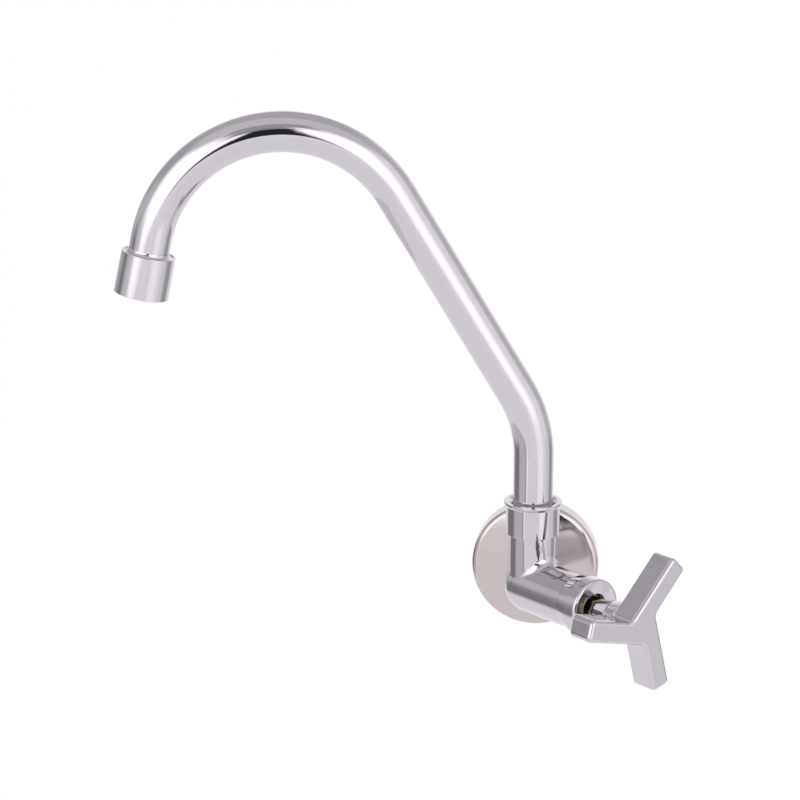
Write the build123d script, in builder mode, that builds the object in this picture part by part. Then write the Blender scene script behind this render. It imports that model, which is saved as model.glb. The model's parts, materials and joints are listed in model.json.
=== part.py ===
from build123d import *
import os
from math import cos, radians, sin

# Wall faucet with one screw-down valve, a swivel spout and a three-arm handle.
# Millimetres. +Z is up and the wall is the plane Y = 0, with the room on its -Y side.
# The origin is where the inlet's axis meets the wall.

# ---- clearances -----------------------------------------------------------------------
run_gap = 0.08  # radial gap of every turning or sliding fit
joint_gap = 0.05  # gap between pieces that are screwed, pressed or clamped together

# ---- places of the three axes ---------------------------------------------------------
axis_out = 40.5  # the spout's swivel axis stands this far in front of the wall
valve_angle = 45.0  # the spindle points this far to the right of straight ahead
spout_swing = 8.6  # the spout rests this far in front of straight along the wall

# ---- inlet and wall flange ------------------------------------------------------------
inlet_thread_r = 10.48  # major radius of a half-inch pipe thread
inlet_thread_in = 14.0  # thread behind the wall
inlet_thread_out = 6.0  # thread in front of the wall, hidden in the flange
inlet_bore_r = 5.5
inlet_lead_in = 1.2
shank_r = 11.0
flange_r = 30.8
flange_depth = 11.4
flange_crown = 1.9  # how far the face bulges between its rim and its hole
flange_edge_r = 2.6
flange_sheet = 0.9
flange_hole_gap = 0.3

# ---- body -----------------------------------------------------------------------------
barrel_r = 13.0
barrel_len = 31.5
neck_r = 11.3
neck_top = 26.3
collar_r = 11.0  # thread that the spout nut screws on
collar_top = 36.0
socket_r = 8.1
socket_floor = 20.0
chamber_r = 9.8
chamber_start = 6.0
port_r = 3.5
port_along = 6.5  # the cross port stands this far along the spindle's axis
port_floor = 7.5
body_fillet = 4.5  # casting fillet where neck, barrel and shank meet

# ---- valve seat, jumper and washer, measured along the spindle's axis -----------------
seat_r = 7.0
seat_bore_r = 4.8
seat_start = 3.5
seat_lip_r = 6.0
seat_lip = 1.2
seat_face = 9.0
washer_r = 6.8
washer_thick = 3.0
jumper_r = 7.2
jumper_thick = 2.0
jumper_stem_r = 2.9
jumper_stem_len = 10.0
stem_spare = 0.5  # the spindle's hole is this much deeper than the jumper's stem is long
jumper_stud_r = 1.5
jumper_stud_len = 6.0
washer_nut_flats = 5.5
washer_nut_thick = 2.4
lift = 3.0  # travel of the jumper from shut to fully open

# ---- bonnet, spindle and gland --------------------------------------------------------
bonnet_reach = 13.5  # how deep the bonnet's thread enters the barrel
bonnet_seal_thick = 0.8
bonnet_flange_r = 12.6
bonnet_flange_thick = 2.8
bonnet_neck_r = 7.0
bonnet_neck_len = 5.4
spindle_thread_r = 5.5
spindle_thread_len = 12.9
spindle_top_gap = 1.0  # spare room above the spindle's thread when fully open
spindle_r = 4.0
spindle_square = 5.6
spindle_square_len = 13.0
packing_floor = 0.9  # the packing box starts this far above the bonnet's flange
packing_len = 3.0
packing_r = 5.6
gland_flats = 10.0
gland_head = 5.8
gland_gap = 1.9  # gap between the gland nut and the handle

# ---- shroud around the bonnet ---------------------------------------------------------
shroud_r = 14.2
shroud_len = 13.3
shroud_flare = 6.0  # length of the taper from the barrel to the full radius
shroud_wall = 1.4  # front wall, around the hole for the gland nut
shroud_hole_r = 7.4
shroud_dish = 1.1  # the front sinks this far from its edge to its hole
shroud_edge_r = 1.4

# ---- handle ---------------------------------------------------------------------------
hub_r = 5.8
hub_root_r = 8.8
hub_len = 15.8
arm_count = 3
arm_reach = 34.3
arm_width = 10.6
arm_depth = 13.2
arm_shift = 3.2  # each arm's centreline passes the spindle at this distance, as in a pinwheel
arm_turn = 45.0  # angle of one arm from level, seen from the front
arm_root_fillet = 3.5
arm_tip_fillet = 2.5
arm_edge_r = 1.9  # rounding of the front edges
arm_bevel = 0.6  # bevel of the back edges
set_screw_r = 2.0
set_screw_len = 3.4
set_screw_lead_in = 0.3
set_screw_place = 6.0  # distance of the set screw from the hub's open end

# ---- spout ----------------------------------------------------------------------------
tube_r = 9.525
tube_wall = 1.0
rise_top = 65.0  # height where the lower bend starts
bend_r = 61.2  # both bends are made on one former
lower_bend = 30.8
arch_bend = 137.8
straight_len = 110.0
outlet_drop = 7.1  # straight end that shows above the outlet collar

tail_bore_r = 5.5
tail_foot = 1.0  # gap under the tail in the socket
tail_lead_in = 0.6
tail_flange_r = 10.9
tail_flange_thick = 2.1
tail_spigot_len = 11.0
bearing_thick = 0.8
bearing_r = 8.2
slip_ring_thick = 0.95
seal_groove_depth = 1.4
seal_groove_width = 2.0
seal_section_r = 0.7
seal_heights = {"lower": 25.0, "upper": 31.0}
seal_squeeze = 0.04  # the seals stand this far proud of the tail

nut_r = 12.7
nut_bottom = 26.5
nut_lid = 2.5
nut_hole_r = 10.0
nut_lip_r = 13.9
nut_lip = 1.3
nut_edge = 0.35

# ---- outlet, measured down from the collar's top --------------------------------------
outlet_top_r = 12.6
outlet_bottom_r = 12.9
outlet_len = 19.8
outlet_edge = 0.7
tube_socket = 4.0
outlet_step = 1.5
outlet_thread_r = 11.0
aerator_washer_thick = 1.5
aerator_washer_bore_r = 8.0
aerator_recess = 0.6
aerator_bore_r = 9.6
aerator_lip_r = 8.4
aerator_lip = 1.0
key_notches = 4
key_notch_width = 3.0
key_notch_depth = 1.2
baffle_thick = 1.4
baffle_ring_r = 6.4
baffle_holes = 12
baffle_hole_r = 0.9
core_len = 7.2
core_wall = 1.2
core_boss_r = 2.2
core_ribs = 6
core_rib = 0.9
screen_thick = 0.5
screen_pitch = 1.9
screen_hole = 1.25
screen_edge_r = 8.6

# ---- values that follow ---------------------------------------------------------------
body_centre = Vector(0, -axis_out, 0)
valve_dir = Vector(sin(radians(valve_angle)), -cos(radians(valve_angle)), 0)
valve_side = Vector(cos(radians(valve_angle)), sin(radians(valve_angle)), 0)
spout_dir = Vector(-cos(radians(spout_swing)), -sin(radians(spout_swing)), 0)
up = Vector(0, 0, 1)

jumper_start = seat_face + joint_gap + washer_thick
spindle_start = jumper_start + jumper_thick + joint_gap
spindle_thread_end = spindle_start + spindle_thread_len
bonnet_start = barrel_len - bonnet_reach
bonnet_flange_start = barrel_len + bonnet_seal_thick
bonnet_flange_end = bonnet_flange_start + bonnet_flange_thick
bonnet_end = bonnet_flange_end + bonnet_neck_len
bonnet_shoulder = spindle_thread_end + lift + spindle_top_gap
packing_start = bonnet_flange_end + packing_floor
gland_end = bonnet_end + gland_head
hub_start = gland_end + gland_gap
blade_back = hub_start + hub_len

bearing_top = collar_top + bearing_thick
tail_flange_bottom = bearing_top + joint_gap
tube_foot = tail_flange_bottom + tail_flange_thick
slip_ring_bottom = tube_foot + joint_gap
nut_lid_bottom = slip_ring_bottom + slip_ring_thick + run_gap
nut_top = nut_lid_bottom + nut_lid
tail_r = socket_r - run_gap

aerator_start = tube_socket + outlet_step + aerator_washer_thick
aerator_end = outlet_len - aerator_recess
screen_start = aerator_end - aerator_lip - joint_gap - screen_thick
core_start = screen_start - joint_gap - core_len
baffle_start = core_start - joint_gap - baffle_thick
insert_r = aerator_bore_r - joint_gap

# ---- planes ---------------------------------------------------------------------------
swivel_axis = Axis(body_centre, up)
valve_axis = Axis(body_centre, valve_dir)
inlet_axis = Axis((0, 0, 0), (0, -1, 0))
swivel_section = Plane(origin=body_centre, x_dir=(1, 0, 0), z_dir=(0, -1, 0))
valve_section = Plane(origin=body_centre, x_dir=valve_dir, z_dir=valve_dir.cross(up))
inlet_section = Plane(origin=(0, 0, 0), x_dir=(1, 0, 0), z_dir=(0, 0, -1))
spout_plane = Plane(origin=body_centre, x_dir=spout_dir, z_dir=spout_dir.cross(up))


def level_plane(height):
    """Level plane on the swivel axis."""
    return Plane(origin=body_centre + up * height)


def valve_plane(along):
    """Plane square to the spindle, at a distance along its axis, with its Y axis up."""
    return Plane(origin=body_centre + valve_dir * along, x_dir=valve_side, z_dir=valve_dir)


def wall_plane(out):
    """Plane along the wall, at a distance in front of it, facing the room."""
    return Plane(origin=(0, -out, 0), x_dir=(1, 0, 0), z_dir=(0, -1, 0))


def in_space(point):
    """A point of the spout's plane, as a point in space."""
    return spout_plane.from_local_coords(point)


def on_bend(centre, turned):
    """Point on a bend of the tube's centreline where it has turned away from upright."""
    return centre + Vector(-cos(radians(turned)), sin(radians(turned))) * bend_r


bend_start = Vector(0, rise_top)
bend_centre = bend_start + Vector(bend_r, 0)
bend_end = on_bend(bend_centre, lower_bend)
arch_start = bend_end + Vector(sin(radians(lower_bend)), cos(radians(lower_bend))) * straight_len
arch_centre = arch_start + Vector(cos(radians(lower_bend)), -sin(radians(lower_bend))) * bend_r
total_bend = lower_bend + arch_bend
arch_end = on_bend(arch_centre, total_bend)
drop_dir = Vector(sin(radians(total_bend)), cos(radians(total_bend)))
outlet_place = arch_end + drop_dir * outlet_drop
tube_end = outlet_place + drop_dir * tube_socket

outlet_point = in_space(outlet_place)
outlet_dir = in_space(outlet_place + drop_dir) - outlet_point
outlet_axis = Axis(outlet_point, outlet_dir)
outlet_across = spout_plane.z_dir
outlet_section = Plane(origin=outlet_point, x_dir=outlet_dir, z_dir=outlet_dir.cross(outlet_across))


def outlet_plane(down):
    """Plane square to the outlet, at a distance below the collar's top, facing the jet."""
    return Plane(origin=outlet_point + outlet_dir * down, x_dir=outlet_across, z_dir=outlet_dir)


screw_point = body_centre + valve_dir * (hub_start + set_screw_place)
screw_plane = Plane(origin=screw_point, x_dir=valve_side, z_dir=-up)


def ring_profile(start, end, inner, outer):
    """Rectangle of a ring in a section plane whose X axis is the ring's axis."""
    with Locations(((start + end) / 2, (inner + outer) / 2)):
        Rectangle(end - start, outer - inner)


def level_ring_profile(bottom, top, inner, outer):
    """Rectangle of a level ring in the swivel section, where Y is the height."""
    with Locations(((inner + outer) / 2, (bottom + top) / 2)):
        Rectangle(outer - inner, top - bottom)


# ---- fixed pieces ---------------------------------------------------------------------
with BuildPart() as valve_body:
    # outside: elbow ball, barrel for the valve, neck for the spout and shank to the wall
    with Locations(body_centre):
        Sphere(barrel_r)
    with BuildSketch(valve_plane(0)):
        Circle(barrel_r)
    extrude(amount=barrel_len)
    with BuildSketch(level_plane(0)):
        Circle(neck_r)
    extrude(amount=neck_top)
    with BuildSketch(wall_plane(inlet_thread_out)):
        Circle(shank_r)
    extrude(amount=axis_out - inlet_thread_out)
    fillet(valve_body.edges().filter_by(GeomType.BSPLINE), radius=body_fillet)
    with BuildSketch(level_plane(neck_top)):
        Circle(collar_r)
    extrude(amount=collar_top - neck_top)
    with BuildSketch(wall_plane(-inlet_thread_in)):
        Circle(inlet_thread_r)
    extrude(amount=inlet_thread_in + inlet_thread_out)
    chamfer(valve_body.edges().sort_by(Axis.Y)[-1], length=inlet_lead_in)
    # waterway: inlet bore, hole of the seat, chamber, cross port and spout socket
    with BuildSketch(wall_plane(-inlet_thread_in)):
        Circle(inlet_bore_r)
    extrude(amount=inlet_thread_in + axis_out, mode=Mode.SUBTRACT)
    with Locations(body_centre):
        Sphere(inlet_bore_r, mode=Mode.SUBTRACT)
    with BuildSketch(valve_section):
        ring_profile(0, seat_start, 0, inlet_bore_r)
        ring_profile(seat_start, chamber_start, 0, seat_r + joint_gap)
        ring_profile(chamber_start, barrel_len, 0, chamber_r)
    revolve(axis=valve_axis, mode=Mode.SUBTRACT)
    with BuildSketch(Plane(origin=body_centre + valve_dir * port_along + up * port_floor)):
        Circle(port_r)
    extrude(amount=socket_floor - port_floor, mode=Mode.SUBTRACT)
    with BuildSketch(level_plane(socket_floor)):
        Circle(socket_r)
    extrude(amount=collar_top - socket_floor, mode=Mode.SUBTRACT)

with BuildPart() as valve_seat:
    with BuildSketch(valve_section):
        with BuildLine():
            Polyline(
                (seat_start + joint_gap, seat_bore_r),
                (seat_face, seat_bore_r),
                (seat_face, seat_lip_r),
                (seat_face - seat_lip, seat_r),
                (seat_start + joint_gap, seat_r),
                close=True,
            )
        make_face()
    revolve(axis=valve_axis)

with BuildPart() as wall_flange:
    flange_hole_r = shank_r + flange_hole_gap
    flange_top = flange_depth + flange_crown
    inner_r = flange_r - flange_sheet
    crown_middle = (flange_r - flange_edge_r + flange_hole_r) / 2
    with BuildSketch(inlet_section) as flange_profile:
        with BuildLine():
            Line((flange_r, 0), (flange_r, flange_depth))
            ThreePointArc(
                (flange_r, flange_depth),
                (crown_middle, flange_depth + 0.75 * flange_crown),
                (flange_hole_r, flange_top),
            )
            Line((flange_hole_r, flange_top), (flange_hole_r, flange_top - flange_sheet))
            ThreePointArc(
                (flange_hole_r, flange_top - flange_sheet),
                (crown_middle, flange_depth + 0.75 * flange_crown - flange_sheet),
                (inner_r, flange_depth - flange_sheet),
            )
            Line((inner_r, flange_depth - flange_sheet), (inner_r, 0))
            Line((inner_r, 0), (flange_r, 0))
        make_face()
        edge_corner = flange_profile.vertices().sort_by_distance((flange_r, flange_depth))[0]
        fillet(edge_corner, radius=flange_edge_r)
        inner_corner = flange_profile.vertices().sort_by_distance((inner_r, flange_depth - flange_sheet))[0]
        fillet(inner_corner, radius=flange_edge_r - flange_sheet)
    revolve(axis=inlet_axis)

with BuildPart() as spout_nut:
    with BuildSketch(swivel_section):
        with BuildLine():
            Polyline(
                (collar_r + joint_gap, nut_bottom),
                (nut_r - nut_edge, nut_bottom),
                (nut_r, nut_bottom + nut_edge),
                (nut_r, nut_top - nut_lip - nut_edge),
                (nut_lip_r, nut_top - nut_lip),
                (nut_lip_r, nut_top - nut_edge),
                (nut_lip_r - nut_edge, nut_top),
                (nut_hole_r, nut_top),
                (nut_hole_r, nut_lid_bottom),
                (collar_r + joint_gap, nut_lid_bottom),
                close=True,
            )
        make_face()
    revolve(axis=swivel_axis)

with BuildPart() as spout_bearing:
    with BuildSketch(swivel_section):
        level_ring_profile(collar_top, bearing_top, bearing_r, tail_flange_r)
    revolve(axis=swivel_axis)

with BuildPart() as bonnet_seal:
    with BuildSketch(valve_section):
        ring_profile(barrel_len, bonnet_flange_start, chamber_r, bonnet_flange_r)
    revolve(axis=valve_axis)

with BuildPart() as bonnet:
    with BuildSketch(valve_section):
        ring_profile(bonnet_start, bonnet_flange_start, 0, chamber_r - joint_gap)
        ring_profile(bonnet_flange_start, bonnet_flange_end, 0, bonnet_flange_r)
        ring_profile(bonnet_flange_end, bonnet_end, 0, bonnet_neck_r)
    revolve(axis=valve_axis)
    with BuildSketch(valve_section):
        ring_profile(bonnet_start, bonnet_shoulder, 0, spindle_thread_r + run_gap)
        ring_profile(bonnet_shoulder, packing_start, 0, spindle_r + run_gap)
        ring_profile(packing_start, bonnet_end, 0, packing_r)
    revolve(axis=valve_axis, mode=Mode.SUBTRACT)

with BuildPart() as gland_packing:
    with BuildSketch(valve_section):
        ring_profile(packing_start, packing_start + packing_len, spindle_r + run_gap, packing_r - joint_gap)
    revolve(axis=valve_axis)

with BuildPart() as gland_nut:
    with BuildSketch(valve_plane(packing_start + packing_len + joint_gap)):
        Circle(packing_r - joint_gap)
    extrude(amount=bonnet_end - packing_start - packing_len)
    with BuildSketch(valve_plane(bonnet_end + joint_gap)):
        RegularPolygon(radius=gland_flats / 2, side_count=6, major_radius=False)
    extrude(amount=gland_head - joint_gap)
    chamfer(gland_nut.faces().sort_by(valve_axis)[-1].edges(), length=0.5)
    with BuildSketch(valve_plane(packing_start)):
        Circle(spindle_r + run_gap)
    extrude(amount=gland_end - packing_start, mode=Mode.SUBTRACT)

with BuildPart() as bonnet_shroud:
    shroud_start = barrel_len + joint_gap
    shroud_end = shroud_start + shroud_len
    shroud_bore_r = bonnet_flange_r + joint_gap
    with BuildSketch(valve_section) as shroud_profile:
        with BuildLine():
            Polyline(
                (shroud_start, shroud_bore_r),
                (shroud_start, barrel_r),
                (shroud_start + shroud_flare, shroud_r),
                (shroud_end, shroud_r),
                (shroud_end - shroud_dish, shroud_hole_r),
                (shroud_end - shroud_dish - shroud_wall, shroud_hole_r),
                (shroud_end - shroud_wall, shroud_bore_r),
                close=True,
            )
        make_face()
        rim_corner = shroud_profile.vertices().sort_by_distance((shroud_end, shroud_r))[0]
        fillet(rim_corner, radius=shroud_edge_r)
    revolve(axis=valve_axis)

# ---- jumper, which slides to open and shut the seat -----------------------------------
with BuildPart() as jumper:
    with BuildSketch(valve_section):
        ring_profile(jumper_start - jumper_stud_len, jumper_start, 0, jumper_stud_r)
        ring_profile(jumper_start, jumper_start + jumper_thick, 0, jumper_r)
        ring_profile(
            jumper_start + jumper_thick, jumper_start + jumper_thick + jumper_stem_len, 0, jumper_stem_r
        )
    revolve(axis=valve_axis)

with BuildPart() as seat_washer:
    with BuildSketch(valve_section):
        ring_profile(seat_face + joint_gap, jumper_start, jumper_stud_r + joint_gap, washer_r)
    revolve(axis=valve_axis)

with BuildPart() as washer_nut:
    with BuildSketch(valve_plane(seat_face + joint_gap - washer_nut_thick)):
        RegularPolygon(radius=washer_nut_flats / 2, side_count=6, major_radius=False)
        Circle(jumper_stud_r + joint_gap, mode=Mode.SUBTRACT)
    extrude(amount=washer_nut_thick)

# ---- spindle and handle, which turn ---------------------------------------------------
with BuildPart() as spindle:
    with BuildSketch(valve_section):
        ring_profile(spindle_start, spindle_thread_end, 0, spindle_thread_r)
        ring_profile(spindle_thread_end, hub_start - joint_gap, 0, spindle_r)
    revolve(axis=valve_axis)
    with BuildSketch(valve_plane(hub_start - joint_gap)):
        Rectangle(spindle_square, spindle_square)
    extrude(amount=spindle_square_len)
    with BuildSketch(valve_plane(spindle_start)):
        Circle(jumper_stem_r + run_gap)
    extrude(amount=jumper_stem_len + stem_spare, mode=Mode.SUBTRACT)

with BuildPart() as handle:
    # three arms, each set to one side of the spindle, rounded at roots, tips and front edges
    with BuildSketch(valve_plane(blade_back)) as arms:
        with PolarLocations(0, arm_count, start_angle=arm_turn):
            with Locations((-arm_width / 2, arm_shift)):
                Rectangle(arm_reach + arm_width / 2, arm_width, align=(Align.MIN, Align.CENTER))
        fillet(arms.vertices().filter_by(lambda v: v.center().length < arm_width), radius=arm_root_fillet)
        fillet(arms.vertices().filter_by(lambda v: v.center().length > arm_reach), radius=arm_tip_fillet)
    extrude(amount=arm_depth)
    fillet(handle.faces().sort_by(valve_axis)[-1].edges(), radius=arm_edge_r)
    chamfer(handle.faces().sort_by(valve_axis)[0].edges(), length=arm_bevel)
    # tapered hub behind the arms, with a square socket and a hole for the set screw
    with BuildSketch(valve_section):
        with BuildLine():
            Polyline(
                (hub_start, 0),
                (hub_start, hub_r),
                (blade_back, hub_root_r),
                (blade_back + arm_depth / 2, hub_r),
                (blade_back + arm_depth / 2, 0),
                close=True,
            )
        make_face()
    revolve(axis=valve_axis)
    with BuildSketch(valve_plane(hub_start)):
        Rectangle(spindle_square + 2 * joint_gap, spindle_square + 2 * joint_gap)
    extrude(amount=spindle_square_len, mode=Mode.SUBTRACT)
    with BuildSketch(screw_plane):
        Circle(set_screw_r + joint_gap)
    extrude(amount=hub_root_r, mode=Mode.SUBTRACT)

with BuildPart() as handle_screw:
    with BuildSketch(screw_plane.offset(spindle_square / 2 + joint_gap)):
        Circle(set_screw_r)
    extrude(amount=set_screw_len)
    chamfer(handle_screw.faces().sort_by(Axis.Z)[0].edges(), length=set_screw_lead_in)

# ---- spout, which swivels -------------------------------------------------------------
with BuildPart() as spout_tail:
    with BuildSketch(swivel_section):
        with BuildLine():
            Polyline(
                (tail_bore_r, socket_floor + tail_foot),
                (tail_r - tail_lead_in, socket_floor + tail_foot),
                (tail_r, socket_floor + tail_foot + tail_lead_in),
                (tail_r, tail_flange_bottom),
                (tail_flange_r, tail_flange_bottom),
                (tail_flange_r, tube_foot),
                (tube_r - tube_wall - joint_gap, tube_foot),
                (tube_r - tube_wall - joint_gap, tube_foot + tail_spigot_len),
                (tail_bore_r, tube_foot + tail_spigot_len),
                close=True,
            )
        make_face()
        for height in seal_heights.values():
            with Locations((tail_r, height)):
                Rectangle(2 * seal_groove_depth, seal_groove_width, mode=Mode.SUBTRACT)
    revolve(axis=swivel_axis)

spout_seals = {}
for place, height in seal_heights.items():
    with BuildPart() as seal:
        with BuildSketch(swivel_section):
            with Locations((tail_r + seal_squeeze - seal_section_r, height)):
                Circle(seal_section_r)
        revolve(axis=swivel_axis)
    spout_seals[place] = seal

with BuildPart() as slip_ring:
    with BuildSketch(swivel_section):
        level_ring_profile(
            slip_ring_bottom, slip_ring_bottom + slip_ring_thick, tube_r + joint_gap, tail_flange_r
        )
    revolve(axis=swivel_axis)

with BuildPart() as spout_tube:
    lower_middle = on_bend(bend_centre, lower_bend / 2)
    arch_middle = on_bend(arch_centre, lower_bend + arch_bend / 2)
    with BuildLine() as spout_path:
        Line(in_space(Vector(0, tube_foot)), in_space(bend_start))
        ThreePointArc(in_space(bend_start), in_space(lower_middle), in_space(bend_end))
        Line(in_space(bend_end), in_space(arch_start))
        ThreePointArc(in_space(arch_start), in_space(arch_middle), in_space(arch_end))
        Line(in_space(arch_end), in_space(tube_end))
    with BuildSketch(level_plane(tube_foot)):
        Circle(tube_r)
        Circle(tube_r - tube_wall, mode=Mode.SUBTRACT)
    sweep(path=spout_path.line)

with BuildPart() as outlet_collar:
    with BuildSketch(outlet_section):
        with BuildLine():
            Polyline(
                (0, tube_r + joint_gap),
                (0, outlet_top_r - outlet_edge),
                (outlet_edge, outlet_top_r),
                (outlet_len - outlet_edge, outlet_bottom_r),
                (outlet_len, outlet_bottom_r - outlet_edge),
                (outlet_len, outlet_thread_r),
                (tube_socket + outlet_step, outlet_thread_r),
                (tube_socket + outlet_step, tube_r - tube_wall),
                (tube_socket + joint_gap, tube_r - tube_wall),
                (tube_socket + joint_gap, tube_r + joint_gap),
                close=True,
            )
        make_face()
    revolve(axis=outlet_axis)

with BuildPart() as aerator_washer:
    with BuildSketch(outlet_section):
        ring_profile(
            tube_socket + outlet_step, aerator_start, aerator_washer_bore_r, outlet_thread_r - joint_gap
        )
    revolve(axis=outlet_axis)

with BuildPart() as aerator_housing:
    with BuildSketch(outlet_section):
        ring_profile(
            aerator_start + joint_gap, aerator_end - aerator_lip, aerator_bore_r, outlet_thread_r - joint_gap
        )
        ring_profile(aerator_end - aerator_lip, aerator_end, aerator_lip_r, outlet_thread_r - joint_gap)
    revolve(axis=outlet_axis)
    with BuildSketch(outlet_plane(aerator_end - key_notch_depth)):
        with PolarLocations(outlet_thread_r, key_notches):
            Rectangle(key_notch_depth * 2, key_notch_width)
    extrude(amount=key_notch_depth, mode=Mode.SUBTRACT)

with BuildPart() as aerator_baffle:
    with BuildSketch(outlet_plane(baffle_start)):
        Circle(insert_r)
        with PolarLocations(baffle_ring_r, baffle_holes):
            Circle(baffle_hole_r, mode=Mode.SUBTRACT)
    extrude(amount=baffle_thick)

with BuildPart() as aerator_core:
    with BuildSketch(outlet_plane(core_start)):
        Circle(insert_r)
        Circle(insert_r - core_wall, mode=Mode.SUBTRACT)
        Circle(core_boss_r)
        with PolarLocations(0, core_ribs):
            Rectangle(insert_r - core_wall / 2, core_rib, align=(Align.MIN, Align.CENTER))
    extrude(amount=core_len)

with BuildPart() as aerator_screen:
    screen_count = 2 * int(screen_edge_r / screen_pitch) + 1
    screen_grid = GridLocations(screen_pitch, screen_pitch, screen_count, screen_count)
    inside_edge = screen_edge_r - screen_hole
    screen_places = [place for place in screen_grid if place.position.length < inside_edge]
    with BuildSketch(outlet_plane(screen_start)):
        Circle(insert_r)
        with Locations(*screen_places):
            Rectangle(screen_hole, screen_hole, mode=Mode.SUBTRACT)
    extrude(amount=screen_thick)

# ---- files ----------------------------------------------------------------------------
pieces = {
    "valve_body": valve_body,
    "valve_seat": valve_seat,
    "wall_flange": wall_flange,
    "spout_nut": spout_nut,
    "spout_bearing": spout_bearing,
    "bonnet_seal": bonnet_seal,
    "bonnet": bonnet,
    "gland_packing": gland_packing,
    "gland_nut": gland_nut,
    "bonnet_shroud": bonnet_shroud,
    "jumper": jumper,
    "seat_washer": seat_washer,
    "washer_nut": washer_nut,
    "spindle": spindle,
    "handle": handle,
    "handle_screw": handle_screw,
    "spout_tail": spout_tail,
    "spout_seal_lower": spout_seals["lower"],
    "spout_seal_upper": spout_seals["upper"],
    "slip_ring": slip_ring,
    "spout_tube": spout_tube,
    "outlet_collar": outlet_collar,
    "aerator_washer": aerator_washer,
    "aerator_housing": aerator_housing,
    "aerator_baffle": aerator_baffle,
    "aerator_core": aerator_core,
    "aerator_screen": aerator_screen,
}
os.makedirs("parts", exist_ok=True)
for name, piece in pieces.items():
    piece.part.label = name
    export_step(piece.part, f"parts/{name}.step")
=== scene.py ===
"""Wall faucet with a swivel spout: its finishes, fine parts and studio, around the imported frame."""

import json
import logging
import math
from dataclasses import dataclass, field
from enum import Enum
from typing import ClassVar

import bpy
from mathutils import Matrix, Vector

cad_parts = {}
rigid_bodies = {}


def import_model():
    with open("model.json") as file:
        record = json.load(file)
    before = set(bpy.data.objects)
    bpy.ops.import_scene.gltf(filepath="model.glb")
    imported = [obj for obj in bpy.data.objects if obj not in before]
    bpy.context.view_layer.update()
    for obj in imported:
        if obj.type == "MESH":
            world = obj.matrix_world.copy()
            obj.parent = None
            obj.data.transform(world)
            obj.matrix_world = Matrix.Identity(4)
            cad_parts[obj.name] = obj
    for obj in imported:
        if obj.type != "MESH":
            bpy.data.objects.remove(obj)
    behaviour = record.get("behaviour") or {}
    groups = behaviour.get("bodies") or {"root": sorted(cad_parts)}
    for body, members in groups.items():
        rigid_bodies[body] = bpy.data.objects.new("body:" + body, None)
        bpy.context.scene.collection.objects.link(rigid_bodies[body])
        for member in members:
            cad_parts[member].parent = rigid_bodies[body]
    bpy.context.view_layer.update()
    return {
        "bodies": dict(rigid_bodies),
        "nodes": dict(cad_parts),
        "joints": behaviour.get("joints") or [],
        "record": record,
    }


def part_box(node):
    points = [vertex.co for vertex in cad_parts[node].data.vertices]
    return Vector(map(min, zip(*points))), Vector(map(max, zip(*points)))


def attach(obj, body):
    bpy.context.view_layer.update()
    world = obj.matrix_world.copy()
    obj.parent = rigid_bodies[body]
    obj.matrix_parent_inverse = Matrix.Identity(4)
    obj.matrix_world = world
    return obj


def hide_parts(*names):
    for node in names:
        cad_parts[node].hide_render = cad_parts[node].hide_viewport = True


LOG = logging.getLogger("wall_faucet")
PER_METRE = 1000  # millimetres
UP = Vector((0, 0, 1))
WHITE = (1, 1, 1, 1)
Colour = tuple[float, float, float]
Socket = bpy.types.NodeSocket


class Coat(Enum):
    """The finishes that the faucet's pieces take."""

    CHROME = "chrome"
    CAST_CHROME = "cast_chrome"
    FLANGE = "steel_flange"
    # brass whose tone is darkened as painted shade for the recess inside the bonnet shroud
    BRASS = "brass"
    RUBBER = "rubber"
    NYLON = "nylon"
    PACKING = "packing"
    GREY_PLASTIC = "grey_plastic"
    STEEL = "steel"


class Nodes:
    """A node tree, and short ways to add to it."""

    def __init__(self, tree: bpy.types.NodeTree) -> None:
        """Takes the tree.

        Args:
            tree: the tree of a material or a world.
        """
        self.tree = tree

    def node(self, kind: str, **settings: object) -> bpy.types.Node:
        """Adds a node.

        Args:
            kind: the node's type name.
            settings: properties to set on it.

        Returns:
            The new node.
        """
        made = self.tree.nodes.new(kind)
        for key, value in settings.items():
            setattr(made, key, value)
        return made

    def link(self, out: Socket, into: Socket) -> None:
        """Joins two sockets."""
        self.tree.links.new(out, into)

    def place(self) -> Socket:
        """The object's own coordinates, in metres."""
        return self.node("ShaderNodeTexCoord").outputs["Object"]

    def calculate(self, operation: str, *values: object) -> Socket:
        """Adds a Math node.

        Args:
            operation: its operation.
            values: sockets or numbers for its inputs.

        Returns:
            Its output.
        """
        made = self.node("ShaderNodeMath", operation=operation)
        for socket, value in zip(made.inputs, values):
            if isinstance(value, (int, float)):
                socket.default_value = value
            else:
                self.link(value, socket)
        return made.outputs[0]

    def spread(
        self,
        value: Socket,
        start: float,
        end: float,
        low: float = 0.0,
        high: float = 1.0,
        interpolation: str = "SMOOTHSTEP",
    ) -> Socket:
        """Spreads part of a value's range over new limits.

        Args:
            value: the value.
            start: where the part starts.
            end: where the part ends.
            low: result at its start and before it.
            high: result at its end and past it.
            interpolation: how the result goes from one to the other.

        Returns:
            The result.
        """
        made = self.node("ShaderNodeMapRange", interpolation_type=interpolation)
        for name, number in (("From Min", start), ("From Max", end), ("To Min", low), ("To Max", high)):
            made.inputs[name].default_value = number
        self.link(value, made.inputs["Value"])
        return made.outputs["Result"]

    def seen(self) -> Socket:
        """Tells rays that show the background from rays that only light.

        Returns:
            A value that is 1 for camera, mirror and glass rays.
        """
        path = self.node("ShaderNodeLightPath")
        value = path.outputs["Is Camera Ray"]
        for name in ("Is Glossy Ray", "Is Transmission Ray"):
            value = self.calculate("MAXIMUM", value, path.outputs[name])
        return value


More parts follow.
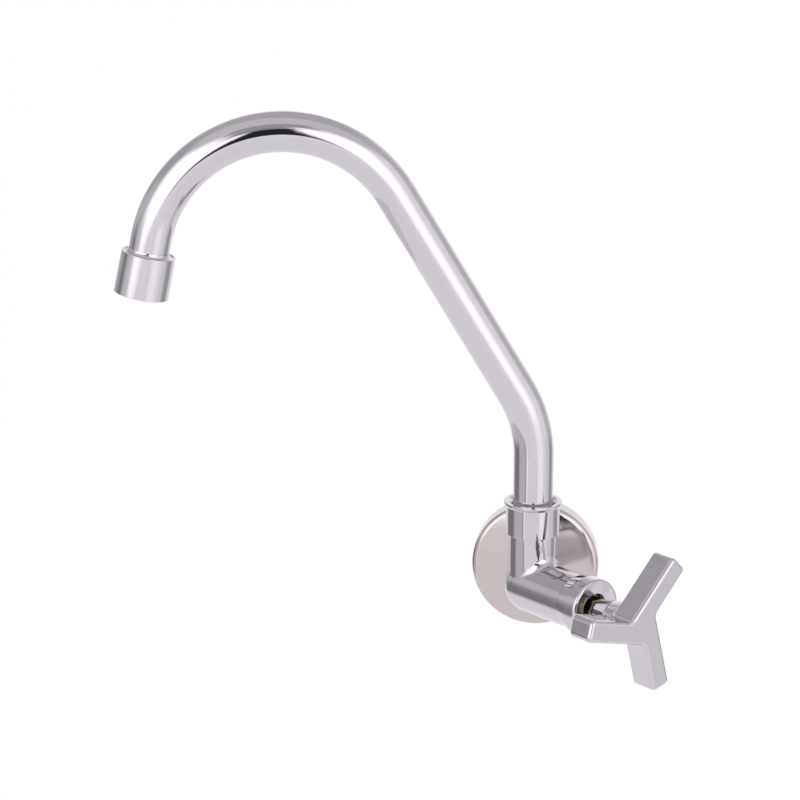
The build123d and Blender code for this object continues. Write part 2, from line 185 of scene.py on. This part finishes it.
class Shader(Nodes):
    """A new material with a Principled shader, and patterns for it.

    Attributes:
        cloud_detail: finer layers of a plain cloud pattern.
        noise_low: a noise pattern's value that counts as low.
        noise_high: its value that counts as high.
    """

    cloud_detail: ClassVar[float] = 3.0
    noise_low: ClassVar[float] = 0.3
    noise_high: ClassVar[float] = 0.7

    def __init__(self, name: str) -> None:
        """Makes the material.

        Args:
            name: the material's name.
        """
        self.material = bpy.data.materials.new(name)
        self.material.use_nodes = True
        super().__init__(self.material.node_tree)
        self.surface = self.tree.nodes["Principled BSDF"]

    def noise(self, size: float, detail: float = cloud_detail) -> Socket:
        """Adds a noise pattern.

        Args:
            size: how large its cells are, in metres.
            detail: its finer layers.

        Returns:
            The pattern's value, from 0 to 1.
        """
        texture = self.node("ShaderNodeTexNoise")
        texture.inputs["Scale"].default_value = 1 / size
        texture.inputs["Detail"].default_value = detail
        self.link(self.place(), texture.inputs["Vector"])
        return texture.outputs["Fac"]

    def ramp(self, value: Socket, low: float, high: float) -> Socket:
        """Spreads a noise pattern's middle range, where most of it lies, over new limits.

        Args:
            value: the pattern.
            low: result where it is low.
            high: result where it is high.

        Returns:
            The new value.
        """
        return self.spread(value, self.noise_low, self.noise_high, low, high, "LINEAR")

    def tint(self, value: Socket, one: Colour, other: Colour) -> None:
        """Colours the surface between two tones by a pattern.

        Args:
            value: the pattern.
            one: tone where it is low.
            other: tone where it is high.
        """
        mix = self.node("ShaderNodeMix", data_type="RGBA")
        mix.inputs["A"].default_value = (*one, 1)
        mix.inputs["B"].default_value = (*other, 1)
        self.link(self.ramp(value, 0, 1), mix.inputs["Factor"])
        self.link(mix.outputs["Result"], self.surface.inputs["Base Color"])

    def relief(self, value: Socket, height: float) -> None:
        """Raises the surface by a pattern.

        Args:
            value: the pattern.
            height: its height in metres.
        """
        bump = self.node("ShaderNodeBump")
        bump.inputs["Distance"].default_value = height
        bump.inputs["Strength"].default_value = 1.0
        self.link(value, bump.inputs["Height"])
        self.link(bump.outputs["Normal"], self.surface.inputs["Normal"])


@dataclass(frozen=True)
class Finish:
    """A surface with faint clouds of two tones and a fine relief.

    Attributes:
        metallic: 1 for a metal, 0 for anything else.
        grain_detail: finer layers of the relief's pattern.
        coat: which finish this is.
        tone: its colour.
        shade: a slightly different tone, in clouds.
        roughness: least and most roughness.
        cloud: size of the clouds, in metres.
        grain: size of the relief's pattern, in metres.
        depth: height of the relief, in metres.
    """

    metallic: ClassVar[float] = 0.0
    grain_detail: ClassVar[float] = 4.0

    coat: Coat
    tone: Colour
    shade: Colour
    roughness: tuple[float, float]
    cloud: float = 0.004
    grain: float = 0.0006
    depth: float = 1e-5

    def material(self) -> bpy.types.Material:
        """Builds the finish's material.

        Returns:
            The material, named for the coat.
        """
        shader = Shader(self.coat.value + "_finish")
        shader.surface.inputs["Metallic"].default_value = self.metallic
        clouds = shader.noise(self.cloud)
        shader.tint(clouds, self.tone, self.shade)
        shader.link(shader.ramp(clouds, *self.roughness), shader.surface.inputs["Roughness"])
        shader.relief(shader.noise(self.grain, self.grain_detail), self.depth)
        return shader.material


@dataclass(frozen=True)
class MetalFinish(Finish):
    """A polished or machined metal."""

    metallic: ClassVar[float] = 1.0
    grain_detail: ClassVar[float] = 2.0


@dataclass(frozen=True)
class MouldedFinish(Finish):
    """A moulded rubber or plastic."""


FINISHES = (
    MetalFinish(
        Coat.CHROME,
        tone=(0.605, 0.575, 0.62),
        shade=(0.597, 0.568, 0.612),
        roughness=(0.03, 0.05),
        cloud=0.03,
        grain=0.012,
        depth=8e-6,
    ),
    MetalFinish(
        Coat.CAST_CHROME,
        tone=(0.605, 0.575, 0.62),
        shade=(0.59, 0.562, 0.605),
        roughness=(0.035, 0.08),
        cloud=0.012,
        grain=0.009,
        depth=6e-5,
    ),
    MetalFinish(
        Coat.FLANGE,
        tone=(0.57, 0.51, 0.515),
        shade=(0.55, 0.495, 0.50),
        roughness=(0.08, 0.12),
        cloud=0.02,
        grain=0.008,
        depth=1e-5,
    ),
    # Brass darkened well below its own colour: painted shade that stands in for the shadow in the recess
    # inside the bonnet shroud, round the gland nut.
    MetalFinish(
        Coat.BRASS,
        tone=(0.31, 0.27, 0.20),
        shade=(0.22, 0.19, 0.14),
        roughness=(0.16, 0.28),
        grain=0.0012,
        depth=5e-7,
    ),
    MetalFinish(
        Coat.STEEL,
        tone=(0.50, 0.49, 0.48),
        shade=(0.42, 0.41, 0.41),
        roughness=(0.2, 0.35),
        grain=0.0008,
        depth=1e-6,
    ),
    MouldedFinish(Coat.RUBBER, (0.012, 0.012, 0.013), (0.022, 0.022, 0.023), (0.5, 0.7)),
    MouldedFinish(Coat.NYLON, (0.78, 0.76, 0.70), (0.72, 0.70, 0.64), (0.35, 0.5)),
    MouldedFinish(Coat.PACKING, (0.75, 0.75, 0.72), (0.66, 0.66, 0.63), (0.5, 0.7)),
    MouldedFinish(Coat.GREY_PLASTIC, (0.26, 0.27, 0.29), (0.22, 0.23, 0.25), (0.35, 0.5)),
)


@dataclass
class Assembly:
    """Pieces of the faucet that are put together as one.

    Attributes:
        coats: the finish of each CAD node that is carried over.
        turn_steps: how many faces go round a turned piece.
        merge_gap: corners nearer than this become one, in metres.
        edge_steps: how many faces go round a rounded edge.
        sharp_turn: faces that meet at more than this many degrees have their edge rounded.
        smooth_turn: faces that meet at less than this many degrees are shaded as one.
        materials: the finished materials, by coat.
    """

    coats: ClassVar[dict[str, Coat]] = {}
    turn_steps: ClassVar[int] = 128
    merge_gap: ClassVar[float] = 1e-6
    edge_steps: ClassVar[int] = 3
    sharp_turn: ClassVar[float] = 25
    smooth_turn: ClassVar[float] = 35

    frame: dict
    materials: dict[Coat, bpy.types.Material]

    def build(self) -> None:
        """Dresses the assembly; one with new pieces makes them here too."""
        self.dress()

    def dress(self) -> None:
        """Gives the CAD nodes their finish."""
        for node, coat in self.coats.items():
            piece = self.frame["nodes"][node]
            for slot in piece.material_slots:
                slot.material = self.materials[coat]
            LOG.info("%s: %s", node, coat.value)

    def turned(
        self,
        name: str,
        outline: list[tuple[float, float]],
        base: Vector,
        along: Vector = UP,
    ) -> bpy.types.Object:
        """Turns a closed outline round an axis, as on a lathe.

        Args:
            name: the new piece's name.
            outline: radius and place along the axis of each corner, in millimetres.
            base: where the axis starts.
            along: which way the axis goes.

        Returns:
            The new piece.
        """
        bpy.ops.object.select_all(action="DESELECT")
        bpy.ops.mesh.primitive_plane_add(size=1 / PER_METRE)
        piece = bpy.context.object
        piece.name = name
        corners = [Vector((radius, 0, height)) / PER_METRE for radius, height in outline]
        bpy.ops.object.mode_set(mode="EDIT")
        bpy.ops.mesh.select_all(action="SELECT")
        bpy.ops.mesh.merge(type="CENTER")
        bpy.ops.transform.translate(value=corners[0])
        for here, there in zip(corners, corners[1:] + corners[:1]):
            bpy.ops.mesh.extrude_vertices_move(TRANSFORM_OT_translate={"value": there - here})
        bpy.ops.mesh.select_all(action="SELECT")
        bpy.ops.mesh.spin(steps=self.turn_steps, angle=2 * math.pi, center=(0, 0, 0), axis=UP)
        bpy.ops.mesh.select_all(action="SELECT")
        bpy.ops.mesh.remove_doubles(threshold=self.merge_gap)
        bpy.ops.mesh.normals_make_consistent(inside=False)
        bpy.ops.object.mode_set(mode="OBJECT")
        piece.rotation_euler = along.to_track_quat("Z", "Y").to_euler()
        piece.location = base
        bpy.ops.object.transform_apply(location=True, rotation=True, scale=True)
        return piece

    def round_edges(self, piece: bpy.types.Object, radius: float) -> None:
        """Rounds a piece's sharp edges and smooths the faces between them.

        Args:
            piece: the piece.
            radius: the rounding's radius, in millimetres.
        """
        bevel = piece.modifiers.new("round_edges", "BEVEL")
        bevel.width = radius / PER_METRE
        bevel.segments = self.edge_steps
        bevel.limit_method = "ANGLE"
        bevel.angle_limit = math.radians(self.sharp_turn)
        bpy.ops.object.select_all(action="DESELECT")
        piece.select_set(True)
        bpy.context.view_layer.objects.active = piece
        bpy.ops.object.modifier_apply(modifier=bevel.name)
        bpy.ops.object.shade_smooth_by_angle(angle=math.radians(self.smooth_turn))
        evened = piece.modifiers.new("even_normals", "WEIGHTED_NORMAL")
        evened.keep_sharp = True
        bpy.ops.object.modifier_apply(modifier=evened.name)

    def finish(self, piece: bpy.types.Object, body: str, coat: Coat, slot: str, *nodes: str) -> None:
        """Dresses a new piece and sets it on its body.

        Args:
            piece: the piece.
            body: the body that it rides on.
            coat: its finish.
            slot: the record's material slot for it; not used.
            nodes: the CAD nodes that it stands for.
        """
        piece.data.materials.clear()
        piece.data.materials.append(self.materials[coat])
        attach(piece, body)
        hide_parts(*nodes)
        LOG.info("%s: %s, on %s, %d faces", piece.name, coat.value, body, len(piece.data.polygons))


@dataclass
class CastBody(Assembly):
    """The casting at the wall, the seat pressed in it and the flange behind it."""

    coats: ClassVar[dict[str, Coat]] = {
        "valve_body": Coat.CAST_CHROME,
        "valve_seat": Coat.STEEL,
        "wall_flange": Coat.FLANGE,
    }


@dataclass
class Headwork(Assembly):
    """The screw-down valve: bonnet, gland, spindle and the washer that it presses."""

    coats: ClassVar[dict[str, Coat]] = {
        "bonnet_seal": Coat.RUBBER,
        "bonnet": Coat.BRASS,
        "gland_packing": Coat.PACKING,
        "gland_nut": Coat.BRASS,
        "bonnet_shroud": Coat.CHROME,
        "jumper": Coat.BRASS,
        "seat_washer": Coat.RUBBER,
        "washer_nut": Coat.BRASS,
        "spindle": Coat.BRASS,
    }


@dataclass
class ThreeArmHandle(Assembly):
    """The handle and its set screw."""

    coats: ClassVar[dict[str, Coat]] = {"handle": Coat.CAST_CHROME, "handle_screw": Coat.STEEL}


@dataclass
class SwivelSpout(Assembly):
    """The bent tube, the tail that turns in the socket, and the nut that holds it.

    Attributes:
        bore_radius: the nut's inner radius. All sizes are in millimetres.
        nut_radius: its outer radius.
        hole_radius: radius of the hole in its lid.
        sink_radius: radius of the countersink round that hole, at the top.
        sink_depth: how deep the countersink goes.
        lid: the lid's thickness.
        lip_radius: radius of the lip round the top.
        lip_height: the lip's height.
        lip_taper: height of the cone under the lip.
        edge: radius of the rounded edges.
    """

    coats: ClassVar[dict[str, Coat]] = {
        "spout_bearing": Coat.NYLON,
        "spout_tail": Coat.BRASS,
        "spout_seal_lower": Coat.RUBBER,
        "spout_seal_upper": Coat.RUBBER,
        "slip_ring": Coat.NYLON,
        "spout_tube": Coat.CHROME,
    }

    bore_radius: float = 11.05
    nut_radius: float = 12.7
    hole_radius: float = 10.0
    sink_radius: float = 11.8
    sink_depth: float = 1.6
    lid: float = 2.5
    lip_radius: float = 13.9
    lip_height: float = 1.1
    lip_taper: float = 1.2
    edge: float = 0.25

    def build(self) -> None:
        """Dresses the spout and makes its nut."""
        super().build()
        self.nut()

    def nut(self) -> None:
        """The round nut, with its lip and the countersink that the tube goes through."""
        low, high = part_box("spout_nut")
        height = (high[2] - low[2]) * PER_METRE
        taper_end = height - self.lip_height
        outline = [
            (self.bore_radius, 0),
            (self.nut_radius, 0),
            (self.nut_radius, taper_end - self.lip_taper),
            (self.lip_radius, taper_end),
            (self.lip_radius, height),
            (self.sink_radius, height),
            (self.hole_radius, height - self.sink_depth),
            (self.hole_radius, height - self.lid),
            (self.bore_radius, height - self.lid),
        ]
        base = Vector(((low[0] + high[0]) / 2, (low[1] + high[1]) / 2, low[2]))
        nut = self.turned("swivel_nut", outline, base)
        self.round_edges(nut, self.edge)
        self.finish(nut, "body", Coat.CHROME, "chrome", "spout_nut")


@dataclass
class Outlet(Assembly):
    """The collar on the spout's end and the aerator screwed into it.

    Attributes:
        length: the collar's length. All sizes are in millimetres.
        top_radius: its outer radius at the top.
        bottom_radius: its outer radius at the bottom.
        rim: width of the flat rim round its top.
        tube_radius: radius of the hole that the tube sits in.
        tube_depth: how deep the tube goes in.
        step_radius: radius of the hole in the ledge that stops the tube.
        step: the ledge's thickness.
        thread_radius: radius of the aerator's thread.
        thread_gap: clearance round the thread.
        bead: height of the bead, from its foot inside the rim up to the tube.
        bead_sink: how far the bead's foot lies below the rim.
        bead_faces: how many faces its curve has.
        edge: radius of the rounded edges.
    """

    coats: ClassVar[dict[str, Coat]] = {
        "aerator_washer": Coat.RUBBER,
        "aerator_housing": Coat.CHROME,
        "aerator_baffle": Coat.GREY_PLASTIC,
        "aerator_core": Coat.GREY_PLASTIC,
        "aerator_screen": Coat.STEEL,
    }

    length: float = 19.8
    top_radius: float = 12.6
    bottom_radius: float = 12.8
    rim: float = 0.7
    tube_radius: float = 9.575
    tube_depth: float = 4.0
    step_radius: float = 8.0
    step: float = 1.5
    thread_radius: float = 11.0
    thread_gap: float = 0.05
    bead: float = 2.4
    bead_sink: float = 0.5
    bead_faces: int = 8
    edge: float = 0.5

    def build(self) -> None:
        """Dresses the aerator and makes the collar."""
        super().build()
        self.collar()

    def brazed_bead(self, foot: float) -> list[tuple[float, float]]:
        """The bead's hollow curve, from inside the rim on to the tube.

        Args:
            foot: radius at which it starts.

        Returns:
            Radius and place along the collar of each of its corners.
        """
        turns = [math.pi / 2 * number / self.bead_faces for number in range(self.bead_faces + 1)]
        width = foot - self.tube_radius
        return [
            (foot - width * math.sin(turn), self.bead_sink - self.bead * (1 - math.cos(turn)))
            for turn in turns
        ]

    def collar(self) -> None:
        """The collar, with its brazed bead, its ledge and its thread."""
        mount = next(m for m in self.frame["record"]["mounts"] if m["name"] == "outlet")
        down = Vector(mount["axis"])
        top = Vector(mount["pos_m"]) - down.normalized() * self.length / PER_METRE
        foot = self.top_radius - self.rim
        thread = self.thread_radius + self.thread_gap
        ledge = self.tube_depth + self.step
        outline = [
            (self.top_radius, 0),
            (foot, 0),
            *self.brazed_bead(foot),
            (self.tube_radius, self.tube_depth),
            (self.step_radius, self.tube_depth),
            (self.step_radius, ledge),
            (thread, ledge),
            (thread, self.length),
            (self.bottom_radius, self.length),
        ]
        collar = self.turned("outlet_sleeve", outline, top, down)
        self.round_edges(collar, self.edge)
        self.finish(collar, "spout", Coat.CHROME, "chrome", "outlet_collar")


@dataclass(frozen=True)
class Panel:
    """A light or dark area of the studio, by direction from the faucet, in degrees.

    Attributes:
        level: its brightness, where 1 is white paper.
        left: azimuth of its left side.
        right: azimuth of its right side.
        bottom: elevation of its lower side.
        top: elevation of its upper side.
        soft: width of its soft edges at the sides.
        soft_level: width of its soft edges at top and bottom.
    """

    level: float
    left: float
    right: float
    bottom: float
    top: float
    soft: float
    soft_level: float

    def over(self, nodes: Nodes, azimuth: Socket, elevation: Socket, under: Socket) -> Socket:
        """Lays the panel over what is there.

        Args:
            nodes: the tent's nodes.
            azimuth: the direction's azimuth.
            elevation: the direction's elevation.
            under: the brightness so far.

        Returns:
            The brightness with the panel in it.
        """
        side, edge = self.soft / 2, self.soft_level / 2
        from_left = nodes.spread(azimuth, self.left - side, self.left + side)
        from_right = nodes.spread(azimuth, self.right - side, self.right + side, 1, 0)
        from_bottom = nodes.spread(elevation, self.bottom - edge, self.bottom + edge)
        from_top = nodes.spread(elevation, self.top - edge, self.top + edge, 1, 0)
        across = nodes.calculate("MULTIPLY", from_left, from_right)
        upwards = nodes.calculate("MULTIPLY", from_bottom, from_top)
        cover = nodes.calculate("MULTIPLY", across, upwards)
        change = nodes.calculate("SUBTRACT", self.level, under)
        return nodes.calculate("MULTIPLY_ADD", cover, change, under)


@dataclass
class Studio:
    """White surroundings, soft boxes either side of the camera, and the camera itself.

    Attributes:
        target: the point that the camera looks at, in metres, as are all lengths but the lens.
        azimuth: how far the camera stands to the right of straight ahead, in degrees.
        elevation: how far it looks down, in degrees.
        distance: how far it stands from the target.
        lens: its focal length, in millimetres.
        floor_level: height of the table top below the faucet.
        floor_width: width of the table top.
        floor_front: place of its front edge.
        floor_back: place of its back edge.
        floor_tone: its grey.
        floor_roughness: its roughness.
        floor_glow: light that makes up for its grey, so that it is seen white.
        white: strength of the world where it is seen.
        daylight: strength of the world as a light.
        tent_radius: radius of the tent that the chrome mirrors.
        tent_segments: how many faces go round the tent.
        tent_rings: how many rings of faces it has.
        table_level: the tent's brightness low down.
        table_top: elevation up to which it has that brightness, in degrees.
        ceiling_level: its brightness high up.
        ceiling_foot: elevation from which it has that brightness, in degrees.
        panels: the lighter and darker areas, each laid over those before it.
    """

    target: Vector = field(default_factory=lambda: Vector((-0.06339, -0.0405, 0.09019)))
    azimuth: float = 5.44
    elevation: float = 15.60
    distance: float = 1.32622
    lens: float = 126.38
    floor_level: float = -0.34
    floor_width: float = 1.2
    floor_front: float = -1.3
    floor_back: float = 5.0
    floor_tone: float = 0.86
    floor_roughness: float = 0.9
    floor_glow: float = 0.24
    white: float = 1.0
    daylight: float = 0.9
    tent_radius: float = 6.0
    tent_segments: int = 64
    tent_rings: int = 32
    table_level: float = 0.9
    table_top: float = -30
    ceiling_level: float = 0.78
    ceiling_foot: float = 45
    panels: tuple[Panel, ...] = (
        Panel(0.60, -200, -100, 35, 100, 30, 14),  # ceiling behind, left half
        Panel(0.60, 100, 200, 35, 100, 30, 14),  # ceiling behind, right half
        Panel(0.53, -140, -78, -14, 48, 34, 16),  # open room on the left
        Panel(0.68, 100, 136, -6, 50, 30, 16),  # open room on the right
        Panel(0.46, 104, 136, -38, -8, 18, 10),  # a stand low on the right
        Panel(1.12, -200, -156, -38, 24, 20, 14),  # backdrop, left half
        Panel(1.12, 146, 200, -16, 24, 20, 14),  # backdrop, right half
        Panel(0.90, 138, 200, -38, -16, 20, 10),  # its shaded foot on the right
        Panel(0.80, -146, -60, -50, -22, 20, 6),  # ground on the left
        Panel(0.68, -96, -36, -33, -2, 12, 8),  # ground beside the table
        Panel(0.72, -106, -80, 9, 26, 14, 8),  # a lit shelf on the left
        Panel(0.74, -124, -106, 2, 13, 10, 6),  # its far end
        Panel(0.30, -108, -86, -12, 3, 12, 8),  # a stand under it
        Panel(0.28, -130, -85, -24, -6, 14, 8),  # the stand's wide foot
        Panel(1.05, -38, 78, -34, 4, 6, 12),  # front of the table
        Panel(0.50, -44, -38, -26, -6, 4, 8),  # its shaded edge
        Panel(1.30, -34, -22, -26, -4, 8, 8),  # its lit edge
        Panel(1.30, 26, 60, -24, -2, 18, 10),  # light from the right soft box on it
        Panel(1.10, 46, 96, -8, 42, 20, 12),  # side wall on the right
        Panel(1.75, -66, 5, 8, 42, 30, 14),  # left soft box, upper part
        Panel(1.75, -52, 5, -4, 12, 22, 6),  # its lower part
        Panel(1.75, 2, 58, -6, 42, 30, 14),  # right soft box
        Panel(0.45, -22, 26, 36, 52, 14, 10),  # frame above the camera
        Panel(0.36, -12, 13, 25, 38, 10, 10),  # lower edge of that frame
        Panel(0.03, -1, 12, -6, 27, 4, 5),  # the dark gap where the camera stands
    )

    def build(self) -> None:
        """Sets the view, and makes the world, floor, tent and camera."""
        bpy.context.scene.view_settings.view_transform = "Standard"
        self._world()
        self._floor()
        self._tent()
        self._camera()
        LOG.info("studio: floor, tent of %d panels, camera", len(self.panels))

    def _world(self) -> None:
        """White where it is seen, and soft even light elsewhere."""
        world = bpy.data.worlds.new("soft_light")
        world.use_nodes = True
        bpy.context.scene.world = world
        nodes = Nodes(world.node_tree)
        background = nodes.tree.nodes["Background"]
        background.inputs["Color"].default_value = WHITE
        strength = nodes.spread(nodes.seen(), 0, 1, self.daylight, self.white, "LINEAR")
        nodes.link(strength, background.inputs["Strength"])

    def _floor(self) -> None:
        """A plain white table top below the faucet, which keeps its shadow."""
        bpy.ops.object.select_all(action="DESELECT")
        middle = (self.floor_front + self.floor_back) / 2
        bpy.ops.mesh.primitive_plane_add(size=1.0, location=(0, middle, self.floor_level))
        floor = bpy.context.object
        floor.name = "studio_floor"
        floor.scale = (self.floor_width, self.floor_back - self.floor_front, 1)
        shader = Shader("white_floor")
        surface = shader.surface.inputs
        surface["Base Color"].default_value = (self.floor_tone, self.floor_tone, self.floor_tone, 1)
        surface["Roughness"].default_value = self.floor_roughness
        surface["Specular IOR Level"].default_value = 0.0
        surface["Emission Color"].default_value = WHITE
        glow = shader.calculate("MULTIPLY", shader.seen(), self.floor_glow)
        shader.link(glow, surface["Emission Strength"])
        floor.data.materials.append(shader.material)

    def _tent(self) -> None:
        """The soft boxes, gaps and room around the faucet, which only its shine shows."""
        bpy.ops.object.select_all(action="DESELECT")
        bpy.ops.mesh.primitive_uv_sphere_add(
            segments=self.tent_segments, ring_count=self.tent_rings, radius=self.tent_radius
        )
        tent = bpy.context.object
        tent.name = "studio_tent"
        shader = Shader("tent_light")
        shader.tree.nodes.remove(shader.surface)
        emission = shader.node("ShaderNodeEmission")
        shader.link(emission.outputs[0], shader.tree.nodes["Material Output"].inputs["Surface"])
        azimuth, elevation = self._direction(shader)
        level = shader.spread(
            elevation, self.table_top, self.ceiling_foot, self.table_level, self.ceiling_level
        )
        for panel in self.panels:
            level = panel.over(shader, azimuth, elevation, level)
        shader.link(level, emission.inputs["Strength"])
        tent.data.materials.append(shader.material)
        tent.visible_camera = False
        tent.visible_diffuse = False
        tent.visible_shadow = False
        tent.visible_transmission = False

    @staticmethod
    def _direction(nodes: Nodes) -> tuple[Socket, Socket]:
        """Adds nodes that give a point's direction from the faucet.

        Args:
            nodes: the tent's nodes.

        Returns:
            Azimuth, 0 straight in front and positive to the right, and elevation, in degrees.
        """
        unit = nodes.node("ShaderNodeVectorMath", operation="NORMALIZE")
        nodes.link(nodes.place(), unit.inputs[0])
        axes = nodes.node("ShaderNodeSeparateXYZ")
        nodes.link(unit.outputs[0], axes.inputs[0])
        front = nodes.calculate("MULTIPLY", axes.outputs["Y"], -1.0)
        turn = nodes.calculate("ARCTAN2", axes.outputs["X"], front)
        rise = nodes.calculate("ARCSINE", axes.outputs["Z"])
        degrees = math.degrees(1)
        return nodes.calculate("MULTIPLY", turn, degrees), nodes.calculate("MULTIPLY", rise, degrees)

    def _camera(self) -> None:
        """The camera, at the photograph's angle and distance."""
        data = bpy.data.cameras.new("camera")
        data.lens = self.lens
        camera = bpy.data.objects.new("camera", data)
        bpy.context.scene.collection.objects.link(camera)
        turn, rise = math.radians(self.azimuth), math.radians(self.elevation)
        back = Vector((math.sin(turn) * math.cos(rise), -math.cos(turn) * math.cos(rise), math.sin(rise)))
        camera.location = self.target + back * self.distance
        camera.rotation_euler = (-back).to_track_quat("-Z", "Y").to_euler()
        bpy.context.scene.camera = camera


def main() -> None:
    """Loads the frame, dresses and details each sub-assembly and builds the studio."""
    logging.basicConfig(level=logging.INFO, format="%(message)s")
    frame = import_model()
    materials = {finish.coat: finish.material() for finish in FINISHES}
    for assembly in (CastBody, Headwork, ThreeArmHandle, SwivelSpout, Outlet):
        assembly(frame, materials).build()
    Studio().build()


if __name__ == "__main__":
    main()
